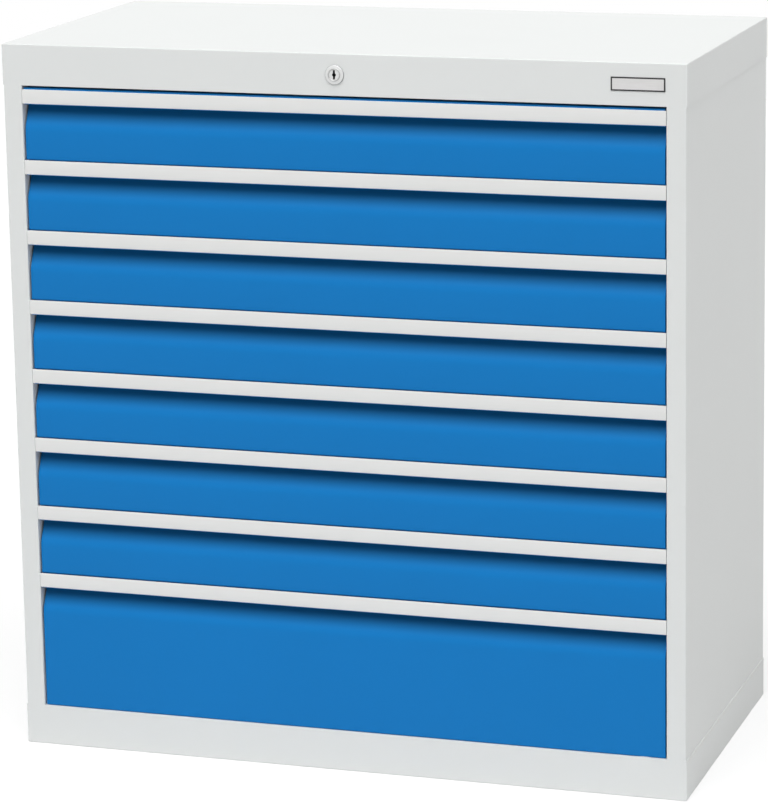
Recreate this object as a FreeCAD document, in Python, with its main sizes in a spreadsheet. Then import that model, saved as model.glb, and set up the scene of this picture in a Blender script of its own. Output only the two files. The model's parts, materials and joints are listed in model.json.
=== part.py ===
import FreeCAD, Part
import os
import re
import Sketcher

doc = FreeCAD.newDocument("drawer_cabinet")

# Driving dimensions, in millimetres and degrees
sizes = {
    # housing
    "overall_width": 980,
    "overall_depth": 491,
    "overall_height": 1019,
    "sheet": 1.2,
    "fold_radius": 1.6,
    "stile_fold": 1.25,
    "cover_rim": 57.9,
    "plinth_height": 57.6,
    "plinth_foot": 30,
    "panel_lap": 17.6,
    "stile_width": 27.2,
    "stile_return": 18,
    "rear_flange": 20,
    "floor_hole_radius": 5.5,
    "floor_hole_in_x": 60,
    "floor_hole_in_y": 16,
    "access_hole_radius": 20,
    # drawer fronts
    "drawers_rise": 2.4,
    "drawer_pitch": 100,
    "deep_drawer": 200,
    "front_side_gap": 2.4,
    "front_set_back": 3,
    "front_overlap": 4.1,
    "sill_gap": 0.4,
    "mount_flange": 25,
    "strip_drop": 24.4,
    "strip_height": 19.9,
    "strip_plate": 2,
    "strip_end_gap": 0.4,
    "strip_over": 1,
    "lip_rise": 2.2,
    "hem_show": 1.2,
    "recess_start": 33,
    "recess_height": 35,
    "recess_depth": 17.5,
    "recess_bend": 30,
    # trays
    "tray_width": 900,
    "tray_depth": 400,
    "tray_sheet": 1,
    "tray_rise": 2,
    "tray_drop": 18,
    "slot_pitch": 25,
    "slot_width": 3,
    "slot_margin": 10,
    # telescopic runners
    "runner_rise": 52,
    "runner_play": 0.4,
    "rail_sheet": 1.2,
    "drawer_rail_half": 17.6,
    "drawer_rail_flange": 7.4,
    "carriage_flange": 6.6,
    "carriage_length": 400,
    "carriage_start": 35.5,
    "cabinet_rail_sheet": 1.4,
    "cabinet_rail_flange": 6.4,
    "cabinet_rail_length": 420,
    "cabinet_rail_start": 40.5,
    # slotted uprights
    "upright_gap": 0.2,
    "upright_sheet": 2,
    "upright_width": 20,
    "upright_front": 36.5,
    "upright_rear": 441.5,
    "upright_slot_width": 5,
    "upright_slot_height": 18,
    "upright_slot_pitch": 50,
    # lock
    "lock_height": 990,
    "rosette_radius": 13.5,
    "rosette_proud": 3.2,
    "barrel_radius": 9.8,
    "barrel_end": 23.5,
    "plug_radius": 7.3,
    "bore_radius": 7.6,
    "plug_sunk": 0.4,
    "keyway_width": 2.8,
    "keyway_height": 13.2,
    "keyway_round": 2.7,
    "keyway_depth": 14,
    "tenon": 8,
    "nut_radius": 13.5,
    "nut_thick": 4,
    "lever_front": 24,
    "lever_sheet": 3,
    "lever_boss": 9,
    "lever_tip": 6,
    "lever_pin": 3,
    "cam_arm": 14,
    "cam_rest_angle": 45,
    "crank_in_x": 38,
    "crank_height": 1000,
    "crank_input_arm": 24,
    "crank_output_arm": 23,
    "crank_rest_angle": 24.4,
    "pivot_radius": 4,
    "pivot_head": 6.5,
    "pivot_cap": 2,
    "link_front": 27.6,
    "link_sheet": 2.5,
    "link_low": 967,
    "link_tall": 19.5,
    "link_end": 8,
    "slot_play": 0.8,
    "slot_end_play": 1.2,
    "bar_front": 30.8,
    "bar_sheet": 3,
    "bar_wall_gap": 3.6,
    "bar_width": 16,
    "bar_head_width": 20,
    "bar_head_tall": 20,
    "bar_head_over": 6.5,
    "hook_reach": 13,
    "hook_low": 3,
    "hook_tall": 6,
    "catch_low": 20,
    "catch_tall": 7,
    "catch_reach": 8,
    "catch_front": 34.3,
    "catch_long": 6,
    # nameplate and rivets
    "plate_width": 74.3,
    "plate_tall": 18.7,
    "plate_centre": 423.2,
    "plate_thick": 0.8,
    "plate_border": 2,
    "plate_relief": 0.25,
    "rivet_in": 12,
    "rivet_first": 130,
    "rivet_pitch": 160,
    "rivet_shank": 2,
    "rivet_head": 4,
    "rivet_head_thick": 1,
    "rivet_length": 4,
}

drawer_count = 8
rivets_a_side = 6
upright_slots = 18
tray_slots_across = 35
tray_slots_along = 15

sheet = doc.addObject("Spreadsheet::Sheet", "Sizes")
for row, (alias, number) in enumerate(sizes.items(), start=1):
    sheet.set(f"A{row}", str(number))
    sheet.setAlias(f"A{row}", alias)
doc.recompute()

# Places that several pieces share, as expressions of the driving dimensions
front = "(-overall_depth / 2)"
rear = "(overall_depth / 2)"
panel_face = "(overall_width / 2 - sheet)"
stile_edge = "(overall_width / 2 - sheet - stile_width)"
opening_top = "(overall_height - cover_rim)"
front_half = f"({stile_edge} - front_side_gap)"
front_face = f"({front} + front_set_back)"
recess_back = f"({front} + front_set_back + recess_depth)"
tray_front = f"({recess_back} + sheet)"
tray_half = "(tray_width / 2 + tray_sheet)"
upright_face = f"({stile_edge} + upright_gap)"
lever_face = f"({front} + lever_front)"
link_face = f"({front} + link_front)"
bar_face = f"({front} + bar_front)"
crank_place = "(-overall_width / 2 + crank_in_x)"
bar_outer = f"(-{panel_face} + sheet + bar_wall_gap)"
bar_inner = f"({bar_outer} + bar_width)"

made = []


def in_sheet(text):
    """Points each alias in an expression at the spreadsheet."""
    def pointed(word):
        return f"Sizes.{word[0]}" if word[0] in sizes else word[0]
    return re.sub(r"[a-z]+(?:_[a-z]+)*", pointed, text)


def value(text):
    return float(sheet.evalExpression(in_sheet(text)))


def bind(thing, prop, text):
    thing.setExpression(prop, in_sheet(text))


def keep(piece, label, solids=1):
    """Names a piece and lists it among those that are written out."""
    piece.Label = label
    made.append((piece, solids))


def new_body(label, solids=1):
    body = doc.addObject("PartDesign::Body", label)
    body.AllowCompound = solids > 1
    keep(body, label, solids)
    return body


def sketch_on(body, plane, offset="0"):
    """A sketch on one of the body's own origin planes, moved along the plane's normal."""
    sketch = body.newObject("Sketcher::SketchObject", f"{body.Name}_sketch")
    base = [feature for feature in body.Origin.OriginFeatures if feature.Role == plane][0]
    sketch.AttachmentSupport = (base, "")
    sketch.MapMode = "FlatFace"
    bind(sketch, "AttachmentOffset.Base.z", offset)
    return sketch


def pin_point(sketch, line, point, x, y):
    """Holds a point of the sketch at x, y from the sketch's origin."""
    for kind, text in (("DistanceX", x), ("DistanceY", y)):
        number = sketch.addConstraint(Sketcher.Constraint(kind, -1, 1, line, point, value(text)))
        bind(sketch, f"Constraints[{number}]", text)


def outline(sketch, corners):
    """A closed outline of straight lines through the corners."""
    first = sketch.GeometryCount
    points = [FreeCAD.Vector(value(x), value(y), 0) for x, y in corners]
    for start, end in zip(points, points[1:] + points[:1]):
        sketch.addGeometry(Part.LineSegment(start, end), False)
    for number, (x, y) in enumerate(corners):
        following = first + (number + 1) % len(corners)
        sketch.addConstraint(Sketcher.Constraint("Coincident", first + number, 2, following, 1))
        pin_point(sketch, first + number, 1, x, y)


def box_outline(sketch, x_low, x_high, y_low, y_high):
    outline(sketch, [(x_low, y_low), (x_high, y_low), (x_high, y_high), (x_low, y_high)])


def circle(sketch, x, y, radius):
    centre = FreeCAD.Vector(value(x), value(y), 0)
    line = sketch.addGeometry(Part.Circle(centre, FreeCAD.Vector(0, 0, 1), value(radius)), False)
    pin_point(sketch, line, 3, x, y)
    number = sketch.addConstraint(Sketcher.Constraint("Radius", line, value(radius)))
    bind(sketch, f"Constraints[{number}]", radius)


def pad(body, sketch, length, backwards=False):
    feature = body.newObject("PartDesign::Pad", f"{body.Name}_pad")
    feature.Profile = sketch
    bind(feature, "Length", length)
    feature.Reversed = backwards
    sketch.Visibility = False
    doc.recompute()
    return feature


def pocket(body, sketch, length, backwards=False):
    """A cut that has to take something away."""
    before = body.Shape.Volume
    feature = body.newObject("PartDesign::Pocket", f"{body.Name}_pocket")
    feature.Profile = sketch
    bind(feature, "Length", length)
    feature.Reversed = backwards
    sketch.Visibility = False
    doc.recompute()
    if body.Shape.Volume > before - 0.01:
        raise RuntimeError(f"a cut in {body.Label} takes nothing away")
    return feature


def repeat(body, feature, axis, pitch, count):
    """Repeats a cut in a row along an axis of the body."""
    before = body.Shape.Volume
    row = body.newObject("PartDesign::LinearPattern", f"{body.Name}_row")
    row.Originals = [feature]
    direction = [line for line in body.Origin.OriginFeatures if line.Role == axis][0]
    row.Direction = (direction, [""])
    row.Occurrences = count
    bind(row, "Length", f"{pitch} * {count - 1}")
    body.Tip = row
    doc.recompute()
    if body.Shape.Volume > before - 0.01:
        raise RuntimeError(f"a row in {body.Label} takes nothing away")
    return row


def round_edges(body, wanted, radius="fold_radius"):
    """Rounds the edges of the body so far that the test picks out."""
    base = body.Tip
    names = [f"Edge{number}" for number, edge in enumerate(base.Shape.Edges, start=1) if wanted(edge)]
    if not names:
        raise RuntimeError(f"no edge to round on {body.Label}")
    feature = body.newObject("PartDesign::Fillet", f"{body.Name}_fillet")
    feature.Base = (base, names)
    bind(feature, "Radius", radius)
    doc.recompute()
    return feature


def upright_edge(edge):
    low, high = edge.BoundBox.getPoint(0), edge.BoundBox.getPoint(6)
    return edge.BoundBox.ZLength > 5 and (high - low).Length - edge.BoundBox.ZLength < 0.001


def edge_at(edge, tolerance=0.01, **places):
    """Whether every point of the edge has the given coordinates."""
    box = edge.BoundBox
    spans = {"x": (box.XMin, box.XMax), "y": (box.YMin, box.YMax), "z": (box.ZMin, box.ZMax)}
    return all(
        abs(spans[axis][0] - place) < tolerance and abs(spans[axis][1] - place) < tolerance
        for axis, place in places.items()
    )


def round_corners(body, corners, radius):
    """Rounds the edges along X that start at the given corners of a section in Y and Z."""
    places = [{"y": value(y), "z": value(z)} for y, z in corners]
    return round_edges(body, lambda edge: any(edge_at(edge, **place) for place in places), radius)


def primitive(kind, name, sized, place, turn=None):
    """A solid primitive with its sizes and its place bound to the driving dimensions."""
    solid = doc.addObject(kind, name)
    for prop, text in sized.items():
        bind(solid, prop, text)
    if turn:
        axis, angle = turn
        solid.Placement = FreeCAD.Placement(FreeCAD.Vector(), FreeCAD.Rotation(axis, 1))
        bind(solid, "Placement.Rotation.Angle", f"({angle}) * 1 deg")
    for axis, text in zip("xyz", place):
        bind(solid, f"Placement.Base.{axis}", text)
    return solid


# The housing

def make_top_cover():
    """An inverted tray whose front rim is the fascia, with a return under the fascia."""
    body = new_body("top_cover")
    block = sketch_on(body, "XY_Plane", opening_top)
    box_outline(block, "-overall_width / 2", "overall_width / 2", front, rear)
    pad(body, block, "cover_rim")
    top = value("overall_height")
    round_edges(body, lambda edge: upright_edge(edge) or edge_at(edge, z=top))
    hollow = sketch_on(body, "XY_Plane", "overall_height - sheet")
    box_outline(hollow, f"-{panel_face}", panel_face, f"{front} + sheet", f"{rear} - sheet")
    pocket(body, hollow, "cover_rim - sheet")
    under = sketch_on(body, "XY_Plane", opening_top)
    box_outline(under, f"-{stile_edge}", stile_edge, f"{front} + sheet / 2", f"{front} + stile_return")
    pad(body, under, "sheet")
    hole = sketch_on(body, "XZ_Plane", f"-{front} + 1")
    circle(hole, "0", "lock_height", "barrel_radius + 0.2")
    pocket(body, hole, "sheet + 2")


def make_side_panel(label, sign):
    """One folded sheet: the side, the front stile with its return, and a rear flange."""
    body = new_body(label)
    profile = sketch_on(body, "XY_Plane", "plinth_height - panel_lap")
    inner_face = f"({panel_face} - sheet)"
    flange_end = f"({panel_face} - rear_flange)"
    back = f"({rear} - 2 * sheet)"
    corners = [
        (panel_face, front),
        (panel_face, back),
        (flange_end, back),
        (flange_end, f"{back} - sheet"),
        (inner_face, f"{back} - sheet"),
        (inner_face, f"{front} + sheet"),
        (f"{stile_edge} + sheet", f"{front} + sheet"),
        (f"{stile_edge} + sheet", f"{front} + stile_return"),
        (stile_edge, f"{front} + stile_return"),
        (stile_edge, front),
    ]
    outline(profile, [(f"{sign}({x})", y) for x, y in corners])
    pad(body, profile, "overall_height - sheet - plinth_height + panel_lap")
    for place, radius in ((panel_face, "fold_radius"), (stile_edge, "stile_fold")):
        x, y = value(f"{sign}{place}"), value(front)
        round_edges(body, lambda edge: edge_at(edge, x=x, y=y), radius)
    lap = sketch_on(body, "XY_Plane", "plinth_height")
    near, far = f"{sign}({stile_edge} - 1)", f"{sign}({panel_face} + 1)"
    box_outline(lap, near, far, f"{front} - 1", f"{front} + sheet")
    pocket(body, lap, "panel_lap + 1")
    corner = sketch_on(body, "XY_Plane", "overall_height")
    box_outline(corner, near, f"{sign}{inner_face}", f"{front} - 1", f"{front} + stile_return + 1")
    pocket(body, corner, "cover_rim")
    edge = sketch_on(body, "XY_Plane", "overall_height")
    box_outline(edge, near, far, f"{front} - 1", f"{front} + sheet")
    pocket(body, edge, "cover_rim")
    holes = sketch_on(body, "XZ_Plane", f"-{rear} + sheet / 2")
    for number in range(rivets_a_side):
        height = f"rivet_first + {number} * rivet_pitch"
        circle(holes, f"{sign}({panel_face} - rivet_in)", height, "rivet_shank")
    pocket(body, holes, "4 * sheet", backwards=True)


def make_back_panel():
    body = new_body("back_panel")
    profile = sketch_on(body, "XZ_Plane", f"-{rear} + sheet")
    low, high = "plinth_height - panel_lap", "overall_height - sheet"
    box_outline(profile, f"-{panel_face}", panel_face, low, high)
    pad(body, profile, "sheet")
    holes = sketch_on(body, "XZ_Plane", f"-{rear} + sheet / 2")
    for sign in ("", "-"):
        for number in range(rivets_a_side):
            height = f"rivet_first + {number} * rivet_pitch"
            circle(holes, f"{sign}({panel_face} - rivet_in)", height, "rivet_shank")
    pocket(body, holes, "4 * sheet", backwards=True)


def make_base_plinth():
    """A deck with skirts all round and a foot flange turned in along the floor."""
    body = new_body("base_plinth")
    block = sketch_on(body, "XY_Plane")
    box_outline(block, "-overall_width / 2", "overall_width / 2", front, rear)
    pad(body, block, "plinth_height")
    round_edges(body, lambda edge: upright_edge(edge) or edge_at(edge, z=0))
    hollow = sketch_on(body, "XY_Plane", "plinth_height - sheet")
    box_outline(hollow, f"-{panel_face}", panel_face, f"{front} + sheet", f"{rear} - sheet")
    pocket(body, hollow, "plinth_height - 2 * sheet")
    mouth = sketch_on(body, "XY_Plane", "sheet")
    foot_x = "(overall_width / 2 - plinth_foot)"
    box_outline(mouth, f"-{foot_x}", foot_x, f"{front} + plinth_foot", f"{rear} - plinth_foot")
    pocket(body, mouth, "sheet + 1")
    slit = sketch_on(body, "XY_Plane", "plinth_height + 1")
    for low, high in ((f"-{panel_face}", f"-{panel_face} + sheet"), (f"{panel_face} - sheet", panel_face)):
        box_outline(slit, low, high, f"{front} + sheet", f"{rear} - 2 * sheet")
    box_outline(slit, f"-{panel_face}", panel_face, f"{rear} - 2 * sheet", f"{rear} - sheet")
    for low, high in (
        (f"-{panel_face} + sheet", f"-{panel_face} + rear_flange"),
        (f"{panel_face} - rear_flange", f"{panel_face} - sheet"),
    ):
        box_outline(slit, low, high, f"{rear} - 3 * sheet", f"{rear} - 2 * sheet")
    for sign in ("", "-"):
        low, high = f"{sign}({stile_edge} + sheet)", f"{sign}{stile_edge}"
        box_outline(slit, low, high, f"{front} + sheet", f"{front} + stile_return")
    pocket(body, slit, "1 + sheet")
    for radius, height in (("floor_hole_radius", "sheet"), ("access_hole_radius", "plinth_height")):
        holes = sketch_on(body, "XY_Plane", f"{height} + 1")
        for x in ("(overall_width / 2 - floor_hole_in_x)", "(-overall_width / 2 + floor_hole_in_x)"):
            for y in (f"({front} + floor_hole_in_y)", f"({rear} - floor_hole_in_y)"):
                inwards = f"{y} * (1 - 2 * (access_hole_radius - floor_hole_in_y + 4) / overall_depth)"
                circle(holes, x, inwards if radius == "access_hole_radius" else y, radius)
        pocket(body, holes, "sheet + 2")


def make_rivets():
    """Blind rivets that hold the back panel to the side panels' rear flanges."""
    body = new_body("back_panel_rivets", solids=2 * rivets_a_side)
    for offset, length, radius in (
        (f"-{rear} + sheet", "rivet_length", "rivet_shank"),
        (f"-{rear} + sheet - rivet_head_thick", "rivet_head_thick", "rivet_head"),
    ):
        profile = sketch_on(body, "XZ_Plane", offset)
        for sign in ("", "-"):
            for number in range(rivets_a_side):
                height = f"rivet_first + {number} * rivet_pitch"
                circle(profile, f"{sign}({panel_face} - rivet_in)", height, radius)
        pad(body, profile, length)


def make_nameplate():
    """A bare plate with a raised border."""
    body = new_body("nameplate")
    low, high = "plate_centre - plate_width / 2", "plate_centre + plate_width / 2"
    bottom, top = "lock_height - plate_tall / 2", "lock_height + plate_tall / 2"
    face = sketch_on(body, "XZ_Plane", f"-{front}")
    box_outline(face, low, high, bottom, top)
    pad(body, face, "plate_thick")
    thick = value("plate_thick")
    round_edges(body, lambda edge: edge.BoundBox.YLength > thick / 2, "plate_thick")
    field = sketch_on(body, "XZ_Plane", f"-{front} + plate_thick")
    box_outline(
        field,
        f"{low} + plate_border",
        f"{high} - plate_border",
        f"{bottom} + plate_border",
        f"{top} - plate_border",
    )
    pocket(body, field, "plate_relief")


# Slotted uprights and the fixed rails

def make_uprights(label, sign):
    """A front and a rear upright of channel section, slotted for the rails."""
    body = new_body(label, solids=2)
    foot = "plinth_height"
    profile = sketch_on(body, "XY_Plane", foot)
    back = f"({panel_face} - sheet)"
    places = (f"({front} + upright_front)", f"({front} + upright_rear)")
    for start in places:
        end = f"({start} + upright_width)"
        corners = [
            (upright_face, start),
            (back, start),
            (back, f"{start} + upright_sheet"),
            (f"({upright_face} + upright_sheet)", f"{start} + upright_sheet"),
            (f"({upright_face} + upright_sheet)", f"{end} - upright_sheet"),
            (back, f"{end} - upright_sheet"),
            (back, end),
            (upright_face, end),
        ]
        outline(profile, [(f"{sign}({x})", y) for x, y in corners])
    pad(body, profile, f"{opening_top} - {foot} + cover_rim / 2")
    plane = f"{upright_face} + upright_sheet + 1" if sign == "" else f"-{upright_face} + 1"
    slots = sketch_on(body, "YZ_Plane", plane)
    for start in places:
        middle = f"{start} + upright_width / 2"
        box_outline(
            slots,
            f"{middle} - upright_slot_width / 2",
            f"{middle} + upright_slot_width / 2",
            f"{foot} + upright_slot_height / 2",
            f"{foot} + upright_slot_height * 3 / 2",
        )
    cut = pocket(body, slots, "upright_sheet + 2")
    repeat(body, cut, "Z_Axis", "upright_slot_pitch", upright_slots)


def bottom_of(number):
    """Height of the lower edge of a drawer's place; drawer 1 is the top one."""
    lowest = "(plinth_height + drawers_rise)"
    if number == drawer_count:
        return lowest
    return f"({lowest} + deep_drawer + {drawer_count - 1 - number} * drawer_pitch)"


def height_of(number):
    return "deep_drawer" if number == drawer_count else "drawer_pitch"


def channel(web_outer, web_inner, flange_end, middle, half, thickness):
    """Corners of a channel section lying on its side, web first."""
    return [
        (web_outer, f"{middle} - {half}"),
        (web_outer, f"{middle} + {half}"),
        (flange_end, f"{middle} + {half}"),
        (flange_end, f"{middle} + {half} - {thickness}"),
        (web_inner, f"{middle} + {half} - {thickness}"),
        (web_inner, f"{middle} - {half} + {thickness}"),
        (flange_end, f"{middle} - {half} + {thickness}"),
        (flange_end, f"{middle} - {half}"),
    ]


carriage_half = "(drawer_rail_half + runner_play + rail_sheet)"
cabinet_half = f"({carriage_half} + runner_play + cabinet_rail_sheet)"
cabinet_web = f"({upright_face} - cabinet_rail_sheet)"
carriage_web = f"({cabinet_web} - runner_play)"


def make_cabinet_runners(label, sign):
    """The fixed rails of one side, one for each drawer, closed at the rear as a stop."""
    body = new_body(label, solids=drawer_count)
    start = f"(-{front} - cabinet_rail_start)"
    rails = sketch_on(body, "XZ_Plane", start)
    caps = sketch_on(body, "XZ_Plane", f"{start} - cabinet_rail_length")
    for number in range(1, drawer_count + 1):
        middle = f"({bottom_of(number)} + runner_rise)"
        flange_end = f"({upright_face} - cabinet_rail_flange)"
        corners = channel(upright_face, cabinet_web, flange_end, middle, cabinet_half, "cabinet_rail_sheet")
        outline(rails, [(f"{sign}({x})", y) for x, y in corners])
        low, high = f"{middle} - {cabinet_half}", f"{middle} + {cabinet_half}"
        box_outline(caps, f"{sign}{flange_end}", f"{sign}{upright_face}", low, high)
    pad(body, rails, "cabinet_rail_length", backwards=True)
    pad(body, caps, "cabinet_rail_sheet")


# The drawers; each is drawn at the height of its own place

def make_tray(number):
    """An open tray with slotted walls, and on its left side the catch that a hook holds."""
    body = doc.addObject("PartDesign::Body", f"folded_tray_{number}")
    bind(body, "Placement.Base.z", bottom_of(number))
    top = f"({height_of(number)} - tray_drop)"
    back = f"({tray_front} + tray_depth + 2 * tray_sheet)"
    block = sketch_on(body, "XY_Plane", "tray_rise")
    box_outline(block, f"-{tray_half}", tray_half, tray_front, back)
    pad(body, block, f"{top} - tray_rise")
    hollow = sketch_on(body, "XY_Plane", top)
    inner_front, inner_back = f"{tray_front} + tray_sheet", f"{back} - tray_sheet"
    box_outline(hollow, "-tray_width / 2", "tray_width / 2", inner_front, inner_back)
    pocket(body, hollow, f"{top} - tray_rise - tray_sheet")
    low, high = "tray_rise + slot_margin", f"{top} - slot_margin"
    across = sketch_on(body, "XZ_Plane", f"-{tray_front} + 1")
    first = f"(-{tray_slots_across - 1} / 2 * slot_pitch)"
    box_outline(across, f"{first} - slot_width / 2", f"{first} + slot_width / 2", low, high)
    cut = pocket(body, across, "tray_depth + 2 * tray_sheet + 2")
    repeat(body, cut, "X_Axis", "slot_pitch", tray_slots_across)
    along = sketch_on(body, "YZ_Plane", f"{tray_half} + 1")
    first = f"({tray_front} + tray_sheet + slot_pitch)"
    box_outline(along, f"{first} - slot_width / 2", f"{first} + slot_width / 2", low, high)
    cut = pocket(body, along, "tray_width + 2 * tray_sheet + 2")
    repeat(body, cut, "Y_Axis", "slot_pitch", tray_slots_along)
    catch = primitive(
        "Part::Box",
        f"catch_{number}",
        {"Length": "catch_reach", "Width": "catch_long", "Height": "catch_tall"},
        (f"-{tray_half} - catch_reach", f"{front} + catch_front", f"{bottom_of(number)} + catch_low"),
    )
    tray = doc.addObject("Part::Compound", f"tray_with_catch_{number}")
    tray.Links = [body, catch]
    keep(tray, f"drawer_tray_{number}", solids=2)
    doc.recompute()


def make_front(number):
    """A folded front: foot and face, the slope of the grip recess, its back, top and hem.

    The top front stands higher than its strip, as a lip under the fascia.
    """
    body = new_body(f"drawer_front_{number}")
    bind(body, "Placement.Base.z", bottom_of(number))
    low = "(sill_gap - drawers_rise)" if number == drawer_count else "(-front_overlap)"
    strip_low = f"({height_of(number)} - strip_drop)"
    bend_low = f"({strip_low} - recess_start)"
    bend_high = f"({bend_low} + recess_height)"
    rise = "lip_rise" if number == 1 else "(-strip_over)"
    top = f"({strip_low} + strip_height + {rise})"
    mitre = "sheet * tan(atan(recess_depth / recess_height) / 2)"
    hem = f"({front} + strip_plate)"
    inner = f"({front_face} + sheet)"
    inner_low = f"({bend_low} - {mitre})"
    section = sketch_on(body, "YZ_Plane", f"-{front_half}")
    outline(section, [
        (front_face, low),
        (front_face, bend_low),
        (recess_back, bend_high),
        (recess_back, f"{top} - sheet"),
        (f"{hem} + sheet", f"{top} - sheet"),
        (f"{hem} + sheet", f"{strip_low} - hem_show"),
        (hem, f"{strip_low} - hem_show"),
        (hem, top),
        (tray_front, top),
        (tray_front, f"{bend_high} - {mitre}"),
        (inner, inner_low),
        (inner, f"{low} + sheet"),
        (recess_back, f"{low} + sheet"),
        (recess_back, "mount_flange"),
        (tray_front, "mount_flange"),
        (tray_front, low),
    ])
    pad(body, section, f"2 * {front_half}")
    round_corners(body, [(front_face, low), (recess_back, bend_high), (tray_front, top)], "fold_radius")
    round_corners(body, [(front_face, bend_low)], "recess_bend")
    round_corners(body, [(inner, inner_low)], "recess_bend - sheet")
    for offset in (f"-{front_half}", f"{front_half} - sheet"):
        end = sketch_on(body, "YZ_Plane", offset)
        outline(end, [
            (f"{front_face} + sheet / 2", f"{low} + sheet / 2"),
            (f"{tray_front} - sheet / 2", f"{low} + sheet / 2"),
            (f"{tray_front} - sheet / 2", f"{bend_high} - {mitre} - sheet / 2"),
            (inner, f"{bend_low} - {mitre} / 2"),
        ])
        pad(body, end, "sheet")


def make_grip_strip(number):
    """The full-width strip, a plate on the front's hem."""
    body = new_body(f"grip_strip_{number}")
    bind(body, "Placement.Base.z", bottom_of(number))
    low = f"({height_of(number)} - strip_drop)"
    top = f"({low} + strip_height)"
    half = f"({stile_edge} - strip_end_gap)"
    section = sketch_on(body, "YZ_Plane", f"-{half}")
    outline(section, [
        (front, low),
        (front, top),
        (f"{front} + strip_plate", top),
        (f"{front} + strip_plate", low),
    ])
    pad(body, section, f"2 * {half}")
    round_corners(body, [(front, low), (front, top)], "strip_plate / 4")


def make_drawer_runners(number):
    """The pair of rails fixed to the tray's sides."""
    body = new_body(f"drawer_runners_{number}", solids=2)
    bind(body, "Placement.Base.z", bottom_of(number))
    section = sketch_on(body, "XZ_Plane", f"-{tray_front} - tray_sheet")
    for sign in ("", "-"):
        corners = channel(
            tray_half,
            f"({tray_half} + rail_sheet)",
            f"({tray_half} + drawer_rail_flange)",
            "runner_rise",
            "drawer_rail_half",
            "rail_sheet",
        )
        outline(section, [(f"{sign}({x})", y) for x, y in corners])
    pad(body, section, "tray_depth", backwards=True)


def make_carriages(number):
    """The pair of middle rails, which travel half as far as the drawer."""
    body = new_body(f"runner_carriages_{number}", solids=2)
    bind(body, "Placement.Base.z", bottom_of(number))
    section = sketch_on(body, "XZ_Plane", f"-{front} - carriage_start")
    for sign in ("", "-"):
        corners = channel(
            carriage_web,
            f"({carriage_web} - rail_sheet)",
            f"({carriage_web} - carriage_flange)",
            "runner_rise",
            carriage_half,
            "rail_sheet",
        )
        outline(section, [(f"{sign}({x})", y) for x, y in corners])
    pad(body, section, "carriage_length", backwards=True)


# The lock, from the keyway to the bar with its hooks

def make_lock_housing():
    body = new_body("lock_housing")
    rosette = sketch_on(body, "XZ_Plane", f"-{front}")
    circle(rosette, "0", "lock_height", "rosette_radius")
    pad(body, rosette, "rosette_proud")
    face = value(f"{front} - rosette_proud")
    round_edges(body, lambda edge: edge_at(edge, y=face))
    barrel = sketch_on(body, "XZ_Plane", f"-{front} - barrel_end")
    circle(barrel, "0", "lock_height", "barrel_radius")
    pad(body, barrel, "barrel_end")
    bore = sketch_on(body, "XZ_Plane", f"-{front} + rosette_proud + 1")
    circle(bore, "0", "lock_height", "bore_radius")
    pocket(body, bore, "rosette_proud + barrel_end + 2")


def make_lock_nut():
    body = new_body("lock_nut")
    profile = sketch_on(body, "XZ_Plane", f"-{front} - sheet - nut_thick")
    corners = []
    for number in range(6):
        angle = f"({60 * number} * 1 deg)"
        corners.append((f"nut_radius * cos{angle}", f"lock_height + nut_radius * sin{angle}"))
    outline(profile, corners)
    circle(profile, "0", "lock_height", "barrel_radius")
    pad(body, profile, "nut_thick")


def make_lock_plug():
    """The turning plug with its keyway, upright when unlocked, and a square tenon behind."""
    body = new_body("lock_plug")
    plug = sketch_on(body, "XZ_Plane", f"-{front} - lever_front")
    circle(plug, "0", "lock_height", "plug_radius")
    pad(body, plug, "lever_front + rosette_proud - plug_sunk")
    keyway = sketch_on(body, "XZ_Plane", f"-{front} + rosette_proud")
    low, high = "lock_height - keyway_height / 2", "lock_height + keyway_height / 2"
    box_outline(keyway, "-keyway_width / 2", "keyway_width / 2", low, high)
    pocket(body, keyway, "keyway_depth")
    eye = sketch_on(body, "XZ_Plane", f"-{front} + rosette_proud")
    circle(eye, "0", "lock_height", "keyway_round")
    pocket(body, eye, "keyway_depth")
    tenon = sketch_on(body, "XZ_Plane", f"-{front} - lever_front")
    box_outline(tenon, "-tenon / 2", "tenon / 2", "lock_height - tenon / 2", "lock_height + tenon / 2")
    pad(body, tenon, "lever_sheet", backwards=True)


def pin_along_y(name, x, y, z, radius, length):
    """A round pin that starts at y and points rearwards."""
    return primitive(
        "Part::Cylinder",
        name,
        {"Radius": radius, "Height": length},
        (x, y, z),
        (FreeCAD.Vector(1, 0, 0), "-90"),
    )


def lever_arm(name, x, z, length, angle):
    """A flat arm from x, z at an angle from the X axis, turned about the Y axis."""
    wide = "2 * lever_tip"
    swing = f"({angle}) * 1 deg"
    return primitive(
        "Part::Box",
        name,
        {"Length": length, "Width": "lever_sheet", "Height": wide},
        (f"{x} - lever_tip * sin({swing})", lever_face, f"{z} - lever_tip * cos({swing})"),
        (FreeCAD.Vector(0, 1, 0), angle),
    )


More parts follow.
